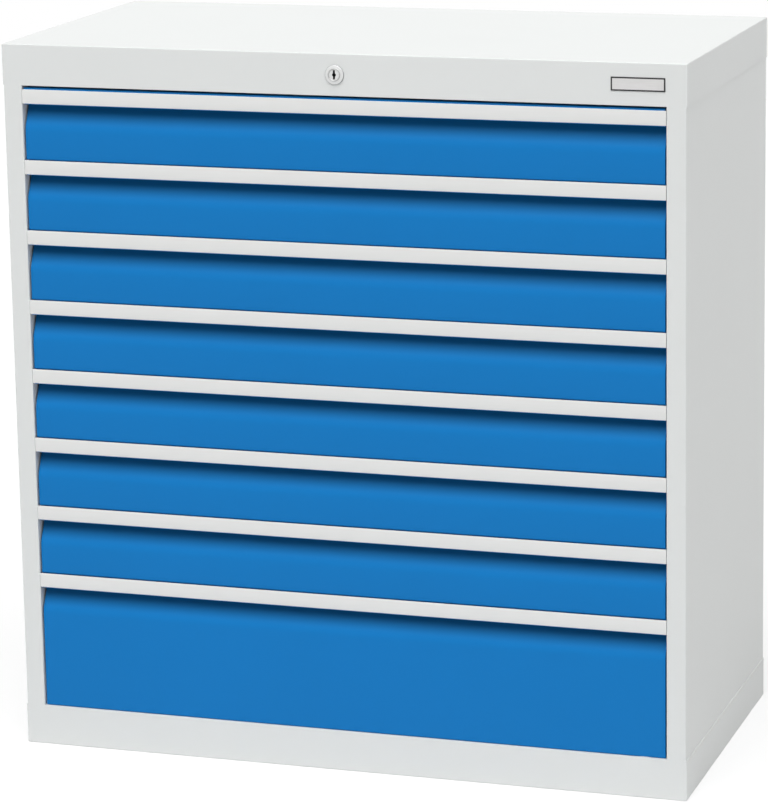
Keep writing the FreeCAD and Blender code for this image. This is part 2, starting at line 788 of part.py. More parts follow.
def make_lever(label, x, z, arms, hole):
    """A flat lever: a boss, arms with round tips, and a pin on each tip; the hole is cut last."""
    solids = [pin_along_y(f"{label}_boss", x, lever_face, z, "lever_boss", "lever_sheet")]
    for number, (length, angle, reach) in enumerate(arms):
        tip_x = f"{x} + {length} * cos({angle} * 1 deg)"
        tip_z = f"{z} - {length} * sin({angle} * 1 deg)"
        solids.append(lever_arm(f"{label}_arm_{number}", x, z, length, angle))
        for shape, radius, length in (
            ("tip", "lever_tip", "lever_sheet"),
            ("pin", "lever_pin", f"lever_sheet + {reach}"),
        ):
            name = f"{label}_{shape}_{number}"
            solids.append(pin_along_y(name, tip_x, lever_face, tip_z, radius, length))
    joined = doc.addObject("Part::MultiFuse", f"{label}_joined")
    joined.Shapes = solids
    joined.Refine = True
    lever = doc.addObject("Part::Cut", label)
    lever.Base = joined
    lever.Tool = hole
    keep(lever, label)
    doc.recompute()


def make_lock_cam():
    hole = primitive(
        "Part::Box",
        "lock_cam_hole",
        {"Length": "tenon", "Width": "lever_sheet", "Height": "tenon"},
        ("-tenon / 2", lever_face, "lock_height - tenon / 2"),
    )
    make_lever("lock_cam", "0", "lock_height", [("cam_arm", "cam_rest_angle", "link_sheet + 1")], hole)


def make_lock_crank():
    hole = pin_along_y(
        "lock_crank_hole",
        crank_place,
        f"{lever_face} - 1",
        "crank_height",
        "pivot_radius + 0.3",
        "lever_sheet + 2",
    )
    arms = [
        ("crank_input_arm", "(90 - crank_rest_angle)", "link_sheet + 2.4"),
        ("crank_output_arm", "(180 - crank_rest_angle)", "bar_front - lever_front + 1.3"),
    ]
    make_lever("lock_crank", crank_place, "crank_height", arms, hole)


def make_crank_pivot():
    """A stepped stud on the back of the fascia, with a head behind the crank."""
    steps = [
        ("shoulder", f"{front} + sheet", "pivot_head", "lever_front - sheet - runner_play"),
        ("pin", f"{lever_face} - runner_play", "pivot_radius", "lever_sheet + 2 * runner_play"),
        ("cap", f"{lever_face} + lever_sheet + runner_play", "pivot_head", "pivot_cap"),
    ]
    solids = [
        pin_along_y(f"pivot_{name}", crank_place, start, "crank_height", radius, length)
        for name, start, radius, length in steps
    ]
    pivot = doc.addObject("Part::MultiFuse", "crank_pivot")
    pivot.Shapes = solids
    pivot.Refine = True
    keep(pivot, "crank_pivot")
    doc.recompute()


def make_lock_link():
    """The flat bar that carries the cam's movement across to the crank."""
    body = new_body("lock_link")
    cam_pin = "(cam_arm * cos(cam_rest_angle * 1 deg))"
    crank_pin = f"({crank_place} + crank_input_arm * sin(crank_rest_angle * 1 deg))"
    profile = sketch_on(body, "XZ_Plane", f"-{link_face}")
    low, high = f"{crank_pin} - link_end", f"{cam_pin} + link_end"
    box_outline(profile, low, high, "link_low", "link_low + link_tall")
    pad(body, profile, "link_sheet", backwards=True)
    slots = sketch_on(body, "XZ_Plane", f"-{link_face} + 1")
    half = "(lever_pin + slot_play)"
    margin = "(lever_pin + slot_end_play)"
    for x, pivot, arm, swing in (
        (cam_pin, "lock_height", "cam_arm", "cam_rest_angle"),
        (crank_pin, "crank_height", "crank_input_arm", "crank_rest_angle"),
    ):
        bottom = f"{pivot} - {arm} - {margin}"
        top = f"{pivot} - {arm} * cos({swing} * 1 deg) + {margin}"
        box_outline(slots, f"{x} - {half}", f"{x} + {half}", bottom, top)
    pocket(body, slots, "link_sheet + 2")


def make_lock_bar():
    """The upright bar behind the left stile that carries a hook for each drawer."""
    body = new_body("lock_bar")
    pin_x = f"({crank_place} - crank_output_arm * cos(crank_rest_angle * 1 deg))"
    pin_z = "(crank_height - crank_output_arm * sin(crank_rest_angle * 1 deg))"
    top = f"({pin_z} + bar_head_over)"
    profile = sketch_on(body, "XZ_Plane", f"-{bar_face}")
    box_outline(profile, bar_outer, bar_inner, f"{bottom_of(drawer_count)} + hook_low", top)
    pad(body, profile, "bar_sheet", backwards=True)
    head = sketch_on(body, "XZ_Plane", f"-{bar_face}")
    box_outline(head, bar_outer, f"{bar_outer} + bar_head_width", f"{top} - bar_head_tall", top)
    pad(body, head, "bar_sheet", backwards=True)
    slot = sketch_on(body, "XZ_Plane", f"-{bar_face} + 1")
    half = "(lever_pin + slot_play)"
    far = f"{crank_place} - crank_output_arm - {half}"
    box_outline(slot, far, f"{pin_x} + {half}", f"{pin_z} - {half}", f"{pin_z} + {half}")
    pocket(body, slot, "bar_sheet + 2")


def make_lock_hooks():
    """The hooks that are welded to the edge of the bar, each with a sloped tip."""
    body = new_body("lock_hooks", solids=drawer_count)
    profile = sketch_on(body, "XZ_Plane", f"-{bar_face}")
    tip = f"({bar_inner} + hook_reach)"
    for number in range(1, drawer_count + 1):
        low = f"({bottom_of(number)} + hook_low)"
        outline(profile, [
            (bar_inner, low),
            (tip, low),
            (tip, f"{low} + hook_tall / 2"),
            (f"{tip} - hook_tall / 2", f"{low} + hook_tall"),
            (bar_inner, f"{low} + hook_tall"),
        ])
    pad(body, profile, "bar_sheet", backwards=True)


make_top_cover()
make_side_panel("side_panel_right", "")
make_side_panel("side_panel_left", "-")
make_back_panel()
make_base_plinth()
make_rivets()
make_nameplate()
make_uprights("uprights_right", "")
make_uprights("uprights_left", "-")
make_cabinet_runners("cabinet_runners_right", "")
make_cabinet_runners("cabinet_runners_left", "-")
for number in range(1, drawer_count + 1):
    make_tray(number)
    make_front(number)
    make_grip_strip(number)
    make_drawer_runners(number)
    make_carriages(number)
make_lock_housing()
make_lock_nut()
make_lock_plug()
make_lock_cam()
make_lock_crank()
make_crank_pivot()
make_lock_link()
make_lock_bar()
make_lock_hooks()
doc.recompute()

for thing in doc.Objects:
    if "Invalid" in thing.State or "Error" in thing.State:
        raise RuntimeError(f"{thing.Label} failed: {thing.State}")
os.makedirs("parts", exist_ok=True)
for piece, solids in made:
    shape = piece.Shape
    if shape.isNull() or not shape.isValid():
        raise RuntimeError(f"{piece.Label} has no valid shape")
    if len(shape.Solids) != solids:
        raise RuntimeError(f"{piece.Label} has {len(shape.Solids)} solids, not {solids}")
    shape.exportStep(f"parts/{piece.Label}.step")
    print(piece.Label, len(shape.Solids), round(shape.Volume), shape.BoundBox)
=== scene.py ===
import json
import math
import bmesh
import bpy
import numpy as np
from mathutils import Matrix, Vector


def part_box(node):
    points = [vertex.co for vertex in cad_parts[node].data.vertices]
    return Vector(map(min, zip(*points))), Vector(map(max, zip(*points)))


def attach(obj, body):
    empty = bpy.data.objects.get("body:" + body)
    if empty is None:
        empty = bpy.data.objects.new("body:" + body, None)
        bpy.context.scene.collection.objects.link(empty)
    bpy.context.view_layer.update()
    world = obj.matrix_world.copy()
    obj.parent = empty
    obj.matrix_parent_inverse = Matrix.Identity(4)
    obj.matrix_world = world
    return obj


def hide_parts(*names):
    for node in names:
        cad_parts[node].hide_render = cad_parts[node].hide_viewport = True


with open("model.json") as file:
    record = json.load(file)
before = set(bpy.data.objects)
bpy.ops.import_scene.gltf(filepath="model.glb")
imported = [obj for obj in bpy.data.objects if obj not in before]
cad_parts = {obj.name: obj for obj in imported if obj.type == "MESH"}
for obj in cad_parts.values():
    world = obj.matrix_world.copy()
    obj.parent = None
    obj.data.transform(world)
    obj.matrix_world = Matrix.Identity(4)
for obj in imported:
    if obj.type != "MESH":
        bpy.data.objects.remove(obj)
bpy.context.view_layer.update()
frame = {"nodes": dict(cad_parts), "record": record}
drawers = range(1, 9)
print("frame loaded:", len(frame["nodes"]), "nodes")


# shader helpers

class Wire:
    # a shader socket; maths on it adds Math nodes to its tree
    def __init__(self, finish, socket):
        self.finish = finish
        self.socket = socket

    def maths(self, operation, *values):
        return self.finish.add("Math", {"operation": operation}, dict(enumerate(values)))

    def __add__(self, other):
        return self.maths("ADD", self, other)

    def __radd__(self, other):
        return self.maths("ADD", other, self)

    def __sub__(self, other):
        return self.maths("SUBTRACT", self, other)

    def __rsub__(self, other):
        return self.maths("SUBTRACT", other, self)

    def __mul__(self, other):
        return self.maths("MULTIPLY", self, other)

    def __rmul__(self, other):
        return self.maths("MULTIPLY", other, self)

    def __pow__(self, other):
        return self.maths("POWER", self, other)

    def __abs__(self):
        return self.maths("ABSOLUTE", self)

    def __lt__(self, other):
        return self.maths("LESS_THAN", self, other)

    def __gt__(self, other):
        return self.maths("GREATER_THAN", self, other)

    def swing(self, amount):
        # a noise lies about 0.5; this centres it on 0 and scales it
        return (self - 0.5) * amount


class Finish:
    # a node tree that is filled one node at a time
    def __init__(self, owner):
        owner.use_nodes = True
        self.owner = owner
        self.tree = owner.node_tree
        self.tree.nodes.clear()

    def add(self, kind, settings, inputs, output=0):
        node = self.tree.nodes.new("ShaderNode" + kind)
        for key, setting in settings.items():
            setattr(node, key, setting)
        for key, given in inputs.items():
            if isinstance(given, Wire):
                self.tree.links.new(given.socket, node.inputs[key])
            elif isinstance(given, tuple) and len(given) == 3 and node.inputs[key].type == "RGBA":
                node.inputs[key].default_value = (*given, 1)
            else:
                node.inputs[key].default_value = given
        return Wire(self, node.outputs[output])

    def place(self):
        return self.add("TexCoord", {}, {}, "Object")

    def stretched(self, vector, scale):
        return self.add("Mapping", {}, {"Vector": vector, "Scale": scale})

    def parts(self, vector):
        split = self.add("SeparateXYZ", {}, {0: vector}).socket.node
        return [Wire(self, socket) for socket in split.outputs]

    def noise(self, vector, scale, detail=2.0, roughness=0.5):
        inputs = {"Vector": vector, "Scale": scale, "Detail": detail, "Roughness": roughness}
        return self.add("TexNoise", {}, inputs)

    def between(self, given, low, high):
        # eases from 0 at low to 1 at high; low may be the larger of the two
        settings = {"interpolation_type": "SMOOTHSTEP"}
        return self.add("MapRange", settings, {"Value": given, "From Min": low, "From Max": high})

    def tinted(self, colour, shade):
        return self.add("VectorMath", {"operation": "SCALE"}, {0: colour, "Scale": shade})

    def mixed(self, amount, first, second):
        return self.add("Mix", {"data_type": "RGBA"}, {0: amount, 6: first, 7: second}, 2)

    def bumped(self, height, depth):
        return self.add("Bump", {}, {"Strength": 1.0, "Distance": depth, "Height": height})

    def ending(self, shader, kind="OutputMaterial"):
        output = self.tree.nodes.new("ShaderNode" + kind)
        self.tree.links.new(shader.socket, output.inputs["Surface"])
        return self.owner

    def surface(self, inputs):
        return self.ending(self.add("BsdfPrincipled", {}, inputs))


# finishes; scales are in waves per metre, depths in metres

housingLook = {
    "colour": (0.675, 0.69, 0.683),
    "specular": 0.35,
    "roughness": 0.46,
    "roughnessSwing": 0.12,
    "flowScale": 420,       # waves of the powder as it melts, about 2.4 mm
    "flowShare": 0.7,       # of the height; the grain has the rest
    "grainScale": 1500,
    "depth": 0.00003,
    "cloudScale": 7,
    "clouding": 0.02,
    "speckle": 0.02,
    "hollow": 0,            # how much darker the coat is painted in the grip recess: painted shade for its shadow
    "hollowFrom": -0.242,
    "hollowTo": -0.230,
}
frontLook = dict(
    housingLook,
    colour=(0.006, 0.173, 0.480),
    specular=0.1,
    roughness=0.5,
    clouding=0.05,
    speckle=0.12,
    # painted shade in the grip recess under each strip
    hollow=0.42,
)
trayLook = dict(housingLook, colour=(0.60, 0.615, 0.61), roughness=0.4, depth=0.00002)


def powderCoat(name, look):
    # the height is a slow flow with a fine grain on it, and the grain also speckles the colour
    coat = Finish(bpy.data.materials.new(name))
    place = coat.place()
    flow = coat.noise(place, look["flowScale"])
    grain = coat.noise(place, look["grainScale"], detail=3.0, roughness=0.6)
    cloud = coat.noise(place, look["cloudScale"], detail=3.0)
    shade = 1 + cloud.swing(look["clouding"]) + grain.swing(look["speckle"])
    # painted shade: the colour darkens with depth behind the face, into the grip recess under the
    # strip
    if look["hollow"]:
        y = coat.parts(place)[1]
        paintedShadeMask = coat.between(y, look["hollowFrom"], look["hollowTo"])
        shade = shade * (1 - look["hollow"] * paintedShadeMask)
    height = flow * look["flowShare"] + grain * (1 - look["flowShare"])
    return coat.surface({
        "Base Color": coat.tinted(look["colour"], shade),
        "Roughness": look["roughness"] + grain.swing(look["roughnessSwing"]),
        "Specular IOR Level": look["specular"],
        "Normal": coat.bumped(height, look["depth"]),
    })


gripLook = {
    "colour": (0.70, 0.705, 0.695),
    "specular": 0.4,
    "roughness": 0.42,
    "roughnessSwing": 0.1,
    "grainScale": 2600,
    "grainShare": 0.5,
    "drawScale": (1.5, 900, 900),
    "lining": 0.03,
    "cloudScale": 9,
    "clouding": 0.02,
    "depth": 0.000015,
}


def drawnPlastic(name, look):
    # fine grain, and faint lines along the strip from the tool it was drawn through
    plastic = Finish(bpy.data.materials.new(name))
    place = plastic.place()
    grain = plastic.noise(place, look["grainScale"], detail=3.0, roughness=0.6)
    lines = plastic.noise(plastic.stretched(place, look["drawScale"]), 1.0)
    cloud = plastic.noise(place, look["cloudScale"])
    shade = 1 + lines.swing(look["lining"]) + cloud.swing(look["clouding"])
    height = grain * look["grainShare"] + lines * (1 - look["grainShare"])
    return plastic.surface({
        "Base Color": plastic.tinted(look["colour"], shade),
        "Roughness": look["roughness"] + grain.swing(look["roughnessSwing"]),
        "Specular IOR Level": look["specular"],
        "Normal": plastic.bumped(height, look["depth"]),
    })


zincLook = {
    "colour": (0.56, 0.58, 0.60),
    "roughness": 0.36,
    "cellScale": 140,
    "cellShade": 0.12,
    "cellGloss": 0.12,
    "cellMiddle": 0.4,
    "rollScale": (1800, 25, 1800),
    "rollShade": 0.12,
    "cloudScale": 12,
    "cloudShade": 0.16,
    "cloudGloss": 0.2,
    "darkest": 0.94,
    "depth": 0.00001,
}


def zincPlate(name, look):
    # soft crystal cells vary tone and gloss, with fine lines from rolling across them
    zinc = Finish(bpy.data.materials.new(name))
    place = zinc.place()
    inputs = {"Vector": place, "Scale": look["cellScale"]}
    cells = zinc.add("TexVoronoi", {"feature": "SMOOTH_F1"}, inputs)
    lines = zinc.noise(zinc.stretched(place, look["rollScale"]), 1.0, detail=3.0)
    cloud = zinc.noise(place, look["cloudScale"], detail=3.0)
    shade = look["darkest"] + cells * look["cellShade"]
    shade = shade + lines.swing(look["rollShade"]) + cloud.swing(look["cloudShade"])
    gloss = (cells - look["cellMiddle"]) * look["cellGloss"] + cloud.swing(look["cloudGloss"])
    return zinc.surface({
        "Base Color": zinc.tinted(look["colour"], shade),
        "Metallic": 1.0,
        "Roughness": look["roughness"] + gloss,
        "Normal": zinc.bumped(lines, look["depth"]),
    })


lockLook = {
    "colour": (0.70, 0.705, 0.70),
    # painted shade: the darker colour in the groove round the bore
    "grooveShade": (0.24, 0.24, 0.245),
    # painted shade: the darker colour of the rosette's wall at its rim
    "rim": (0.36, 0.365, 0.37),
    # painted shade: the near-black colour of the keyway, standing in for its shadow
    "shade": (0.002, 0.002, 0.002),
    "metallic": 0.85,
    "roughness": 0.5,
    "ringScale": 5200,
    "ringShade": 0.16,
    "ringGloss": 0.1,
    "cloudScale": 160,
    "cloudShade": 0.1,
    "cloudGloss": 0.14,
    "lightness": 0.96,
    "depth": 0.000006,
}


def turnedNickel(name, look, centre, rim, groove, keyway):
    # rings of turning marks about the lock's axis, with painted shade on the rim's wall and in
    # a groove, and a near-black painted shade in the keyway
    nickel = Finish(bpy.data.materials.new(name))
    place = nickel.place()
    x, y, z = nickel.parts(place)
    radius = ((x - centre.x) ** 2 + (z - centre.z) ** 2) ** 0.5
    marks = {"W": radius * look["ringScale"], "Scale": 1.0, "Detail": 2.0}
    rings = nickel.add("TexNoise", {"noise_dimensions": "1D"}, marks)
    cloud = nickel.noise(place, look["cloudScale"], detail=3.0)
    grooveMiddle, grooveHalf = groove
    # painted shade in the groove round the bore
    grooveShade = abs(radius - grooveMiddle) < grooveHalf
    keywayReach, keywayStart = keyway
    # painted shade: in the keyway the colour turns near black and the metal is dropped
    paintedShadeMask = (radius < keywayReach) * (y > keywayStart)
    shade = look["lightness"] + rings.swing(look["ringShade"]) + cloud.swing(look["cloudShade"])
    gloss = rings.swing(look["ringGloss"]) + cloud.swing(look["cloudGloss"])
    # painted shade on the rosette's wall beyond the rim radius
    rimShaded = nickel.mixed(radius > rim, look["colour"], look["rim"])
    metal = nickel.mixed(grooveShade, nickel.tinted(rimShaded, shade), look["grooveShade"])
    return nickel.surface({
        "Base Color": nickel.mixed(paintedShadeMask, metal, look["shade"]),
        "Metallic": look["metallic"] * (1 - paintedShadeMask),
        "Roughness": look["roughness"] + gloss,
        "Normal": nickel.bumped(rings, look["depth"]),
    })


plateLook = {
    "colour": (0.68, 0.675, 0.67),
    "border": (0.01, 0.01, 0.0105),
    "metallic": 0.75,
    "roughness": 0.34,
    "brushScale": (35, 35, 3600),
    "brushShade": 0.3,
    "brushGloss": 0.2,
    "cloudScale": 60,
    "cloudShade": 0.08,
    "lightness": 0.95,
    "depth": 0.000008,
}


def brushedPlate(name, look, centre, halfWide, halfTall):
    # brushing along the plate; outside the field the border is stained dark
    alloy = Finish(bpy.data.materials.new(name))
    place = alloy.place()
    streaks = alloy.stretched(place, look["brushScale"])
    brush = alloy.noise(streaks, 1.0, detail=4.0, roughness=0.65)
    cloud = alloy.noise(place, look["cloudScale"])
    x, z = alloy.parts(place)[::2]
    field = (abs(x - centre.x) < halfWide) * (abs(z - centre.z) < halfTall)
    shade = look["lightness"] + brush.swing(look["brushShade"]) + cloud.swing(look["cloudShade"])
    metal = alloy.tinted(look["colour"], shade)
    return alloy.surface({
        "Base Color": alloy.mixed(field, look["border"], metal),
        "Metallic": look["metallic"] * field,
        "Roughness": look["roughness"] + brush.swing(look["brushGloss"]),
        "Normal": alloy.bumped(brush, look["depth"]),
    })


# meshes

def gridFaces(rows, columns, wrapRows, wrapColumns):
    # quads of a grid of points numbered row by row, joined end to start where it wraps
    row = np.arange(rows if wrapRows else rows - 1)[:, None]
    column = np.arange(columns if wrapColumns else columns - 1)[None, :]
    nextRow, nextColumn = (row + 1) % rows, (column + 1) % columns
    quads = [
        row * columns + column,
        nextRow * columns + column,
        nextRow * columns + nextColumn,
        row * columns + nextColumn,
    ]
    return np.stack(quads, axis=-1).reshape(-1, 4).tolist()


def extruded(loop, xLow, xHigh):
    # a closed loop of (y, z) points, carried straight along x and closed by a face at each end
    count = len(loop)
    points = np.empty((count, 2, 3))
    points[:, :, 0] = (xLow, xHigh)
    points[:, :, 1:] = loop[:, None, :]
    faces = gridFaces(count, 2, True, False)
    faces += [list(range(0, 2 * count, 2)), list(range(1, 2 * count, 2))]
    return points.reshape(-1, 3), faces


def revolved(profile, centres, steps, closed):
    # a profile of (radius, y) points turned about the y direction through each centre
    angle = np.arange(steps) * 2 * np.pi / steps
    radius, y = profile[:, :1], profile[:, 1:]
    turned = np.stack([radius * np.cos(angle), y + 0 * angle, radius * np.sin(angle)], axis=-1)
    points = turned.reshape(-1, 3)[None] + np.asarray(centres)[:, None, :]
    faces = np.array(gridFaces(len(profile), steps, closed, True))
    every = faces[None] + len(profile) * steps * np.arange(len(centres))[:, None, None]
    return points.reshape(-1, 3), every.reshape(-1, 4).tolist()


def roundedLine(corners, radius, steps):
    # every inner corner becomes an arc that starts radius * tan(half the turn) before it;
    # returns the points and the unit normal at each, which is the direction turned left
    corners = np.asarray(corners, float)
    radius = np.broadcast_to(radius, len(corners) - 2)
    run = np.diff(corners, axis=0)
    along = run / np.linalg.norm(run, axis=1)[:, None]
    left = np.stack([-along[:, 1], along[:, 0]], axis=1)
    cross = along[:-1, 0] * along[1:, 1] - along[:-1, 1] * along[1:, 0]
    turn = np.arcsin(np.clip(cross, -1, 1))
    reach = radius * np.tan(np.abs(turn) / 2)
    start = corners[1:-1] - along[:-1] * reach[:, None]
    toCentre = (np.sign(turn) * radius)[:, None]
    centre = start + left[:-1] * toCentre
    angle = (turn[:, None] * np.linspace(0, 1, steps))[..., None]
    normal = left[:-1, None, :] * np.cos(angle) - along[:-1, None, :] * np.sin(angle)
    arc = centre[:, None, :] - normal * toCentre[:, None, :]
    points = np.concatenate([corners[:1], arc.reshape(-1, 2), corners[-1:]])
    normals = np.concatenate([left[:1], normal.reshape(-1, 2), left[-1:]])
    return points, normals


def foldedSheet(corners, radius, thickness, steps=7):
    # the middle line of a folded sheet, thickened by half its thickness on each side
    points, normals = roundedLine(corners, radius, steps)
    half = normals * thickness / 2
    return np.concatenate([points + half, (points - half)[::-1]])


def roundedRectangle(halfWide, halfTall, radius, steps=6):
    # each corner is a quarter circle about a point set in by the radius
    quarter = np.linspace(0, np.pi / 2, steps)
    angle = (np.arange(4)[:, None] * np.pi / 2 + quarter).ravel()
    right, up = np.repeat([1, -1, -1, 1], steps), np.repeat([1, 1, -1, -1], steps)
    across = right * (halfWide - radius) + radius * np.cos(angle)
    return np.stack([across, up * (halfTall - radius) + radius * np.sin(angle)], axis=1)


def makePiece(name, shells, slot, body, replaced, smoothAngle=32):
    # shells are (points, faces); their doubles are merged and their faces turned outwards
    mesh = bpy.data.meshes.new(name)
    points, faces, first = [], [], 0
    for shellPoints, shellFaces in shells:
        points.append(shellPoints)
        faces += [[first + corner for corner in face] for face in shellFaces]
        first += len(shellPoints)
    mesh.from_pydata(np.concatenate(points).tolist(), [], faces)
    solid = bmesh.new()
    solid.from_mesh(mesh)
    bmesh.ops.remove_doubles(solid, verts=solid.verts, dist=1e-7)
    bmesh.ops.recalc_face_normals(solid, faces=solid.faces)
    solid.to_mesh(mesh)
    solid.free()
    mesh.shade_smooth()
    mesh.set_sharp_from_angle(angle=math.radians(smoothAngle))
    mesh.materials.append(finishes[slot])
    piece = bpy.data.objects.new(name, mesh)
    bpy.context.scene.collection.objects.link(piece)
    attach(piece, body)
    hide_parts(replaced)


# materials, also on the nodes that keep their own shape

lockLow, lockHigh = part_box("lock_housing")
lockCentre = Vector((0, lockLow.y, (lockLow.z + lockHigh.z) / 2))
plateLow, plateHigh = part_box("nameplate")
plateCentre = (plateLow + plateHigh) / 2
plateHalf = (plateHigh - plateLow) / 2

lock = {
    "flange": 0.0135,       # radii, from the outside in
    "barrel": 0.0098,
    "grooveAt": 0.0084,
    "bore": 0.0076,
    "plug": 0.0073,
    "proud": 0.0032,        # depths
    "wall": 0.0018,
    "cone": 0.0011,
    "grooveDeep": 0.0004,
    "keywayDeep": 0.014,
    "grooveWide": 0.0004,
    "shoulder": 0.0012,     # radius of the flange's rounded edge
    # width of the band of painted shade at the rosette's rim
    "rimWide": 0.0006,
    "bevel": 0.0003,
    "keywayBevel": 0.0002,
    "keywayWide": 0.0028,
    "keywayTall": 0.0132,
    "keywayRound": 0.0027,
    "keywayShadeInset": 0.0008,   # how far in from the plug's faces the painted keyway shade begins
    "steps": 128,
    "quarterSteps": 40,
    "shoulderSteps": 8,
}
plate = {
    "border": 0.002,
    "relief": 0.00025,
    "corner": 0.0008,
    "innerCorner": 0.0004,
    "edge": 0.0002,
}

finishes = {
    "housing_paint": powderCoat("housingPaint", housingLook),
    "front_paint": powderCoat("frontPaint", frontLook),
    "tray_paint": powderCoat("trayPaint", trayLook),
    "grip_plastic": drawnPlastic("gripPlastic", gripLook),
    "zinc_steel": zincPlate("zincSteel", zincLook),
    "rivet_steel": zincPlate("rivetSteel", dict(zincLook, cellScale=900, roughness=0.3)),
    "lock_metal": turnedNickel(
        "lockNickel",
        lockLook,
        lockCentre,
        lock["flange"] - lock["rimWide"],
        (lock["grooveAt"], lock["grooveWide"] / 2),
        (lock["plug"] - lock["keywayShadeInset"], lockLow.y + lock["keywayShadeInset"]),
    ),
    "plate_aluminium": brushedPlate(
        "plateAluminium",
        plateLook,
        plateCentre,
        plateHalf.x - plate["border"],
        plateHalf.z - plate["border"],
    ),
}
for part in frame["record"]["subparts"]:
    for slot in frame["nodes"][part["node"]].material_slots:
        slot.material = finishes[part["material_slot"]]
print("finishes made:", len(finishes))


# drawer fronts

front = {
    "sheet": 0.0012,
    "fold": 0.001,           # radius of the sheet's middle line at its folds
    "recessBend": 0.0294,    # the same where the face leans back into the recess
    "recessStart": 0.033,    # below the strip's lower edge
    "recessTall": 0.035,
    "setBack": 0.001,        # of the face behind the hem
    "hemShow": 0.0012,
    "trayRise": 0.002,       # of the tray above the lower edge of the drawer's place
    "flangeTall": 0.025,
    "endInset": 0.00001,     # keeps the end plates' faces off the sheet's own ends
}


def makeFront(number):
    # one folded sheet, from the foot's flange up the face, in behind the strip and
    # over to the hem, with a plate that closes each end
    low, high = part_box(f"drawer_front_{number}")
    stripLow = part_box(f"grip_strip_{number}")[0]
    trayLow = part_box(f"drawer_tray_{number}")[0]
    half = front["sheet"] / 2
    hem, back = low.y + half, high.y - half
    face = low.y + front["setBack"] + half
    foot, top = low.z + half, high.z - half
    slope = math.atan2(back - face, front["recessTall"])
    mitre = half * math.tan(slope / 2)
    bendLow = stripLow.z - front["recessStart"] - mitre
    bendHigh = bendLow + front["recessTall"]
    corners = [
        (back, trayLow.z - front["trayRise"] + front["flangeTall"]),
        (back, foot),
        (face, foot),
        (face, bendLow),
        (back, bendHigh),
        (back, top),
        (hem, top),
        (hem, stripLow.z - front["hemShow"]),
    ]
    fold = front["fold"]
    folds = [fold, fold, front["recessBend"], fold, fold, fold]
    end = np.array([
        (face, foot),
        (back - half, foot),
        (back - half, bendHigh - half),
        (face + half, bendLow),
    ])
    shells = [
        extruded(foldedSheet(corners, folds, front["sheet"]), low.x, high.x),
        extruded(end, low.x + front["endInset"], low.x + front["sheet"]),
        extruded(end, high.x - front["sheet"], high.x - front["endInset"]),
    ]
    body, replaced = f"drawer_{number}", f"drawer_front_{number}"
    makePiece(f"front_{number}", shells, "front_paint", body, replaced)


# grip strips

strip = {"edge": 0.0005, "steps": 6}


def makeStrip(number):
    # the outline of the strip's section, with its front edges rounded
    low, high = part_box(f"grip_strip_{number}")
    section = [(high.y, low.z), (low.y, low.z), (low.y, high.z), (high.y, high.z)]
    points = roundedLine(section, strip["edge"], strip["steps"])[0]
    shells = [extruded(points, low.x, high.x)]
    body, replaced = f"drawer_{number}", f"grip_strip_{number}"
    makePiece(f"strip_{number}", shells, "grip_plastic", body, replaced)


for number in drawers:
    makeFront(number)
    makeStrip(number)
print("fronts and strips made:", len(drawers))


# lock

def makeRosette():
    # a low wall, a rounded edge and a flat cone up to a groove and a raised ring round the bore
    low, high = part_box("lock_housing")
    seat = low.y + lock["proud"]
    wide, bevel = lock["grooveWide"], lock["bevel"]
    side = [
        (lock["flange"], seat),
        (lock["flange"], seat - lock["wall"]),
        (lock["grooveAt"] + wide, low.y + lock["cone"]),
    ]
    rim = roundedLine(side, lock["shoulder"], lock["shoulderSteps"])[0]
    inner = [
        (lock["grooveAt"] + wide / 2, low.y),
        (lock["grooveAt"] + wide / 4, low.y + lock["grooveDeep"]),
        (lock["grooveAt"] - wide / 4, low.y + lock["grooveDeep"]),
        (lock["grooveAt"] - wide / 2, low.y),
        (lock["bore"] + bevel, low.y),
        (lock["bore"], low.y + bevel),
        (lock["bore"], high.y),
        (lock["barrel"], high.y),
        (lock["barrel"], seat),
    ]
    centres = [(lockCentre.x, 0, lockCentre.z)]
    shells = [revolved(np.concatenate([rim, inner]), centres, lock["steps"], True)]
    makePiece("lockRosette", shells, "lock_metal", "housing", "lock_housing")


def makePlug():
    # round outside; the keyway's edge at an angle is where a ray from the middle leaves
    # the slot or the round eye, whichever is farther
    low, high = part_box("lock_plug")
    nearZero = 1e-6
    wide, tall = lock["keywayWide"] / 2, lock["keywayTall"] / 2
    corner = math.atan2(wide, tall)
    eye = math.asin(wide / lock["keywayRound"])
    even = np.linspace(0, np.pi / 2, lock["quarterSteps"])
    quarter = np.unique(np.concatenate([even, [corner, eye]]))
    mirrored = quarter[::-1][1:]
    angle = np.concatenate([
        quarter,
        np.pi - mirrored,
        np.pi + quarter[1:],
        2 * np.pi - mirrored[:-1],
    ])
    across, up = np.sin(angle), np.cos(angle)
    toSide = wide / np.maximum(np.abs(across), nearZero)
    toTop = tall / np.maximum(np.abs(up), nearZero)
    keyway = np.maximum(np.minimum(toSide, toTop), lock["keywayRound"])
    outside = np.full_like(angle, lock["plug"])
    face, bottom = low.y, low.y + lock["keywayDeep"]
    bevel, keywayBevel = lock["bevel"], lock["keywayBevel"]
    rings = [
        (0 * angle, bottom),
        (keyway, bottom),
        (keyway, face + keywayBevel),
        (keyway + keywayBevel, face),
        (outside - bevel, face),
        (outside, face + bevel),
        (outside, high.y),
        (0 * angle, high.y),
    ]
    points = np.stack([
        np.stack([radius * across, y + 0 * angle, radius * up], axis=1) for radius, y in rings
    ])
    points += np.array([lockCentre.x, 0, lockCentre.z])
    shells = [(points.reshape(-1, 3), gridFaces(len(rings), len(angle), False, True))]
    makePiece("lockPlug", shells, "lock_metal", "key_plug", "lock_plug")


makeRosette()
makePlug()
print("lock made")


# nameplate and rivets

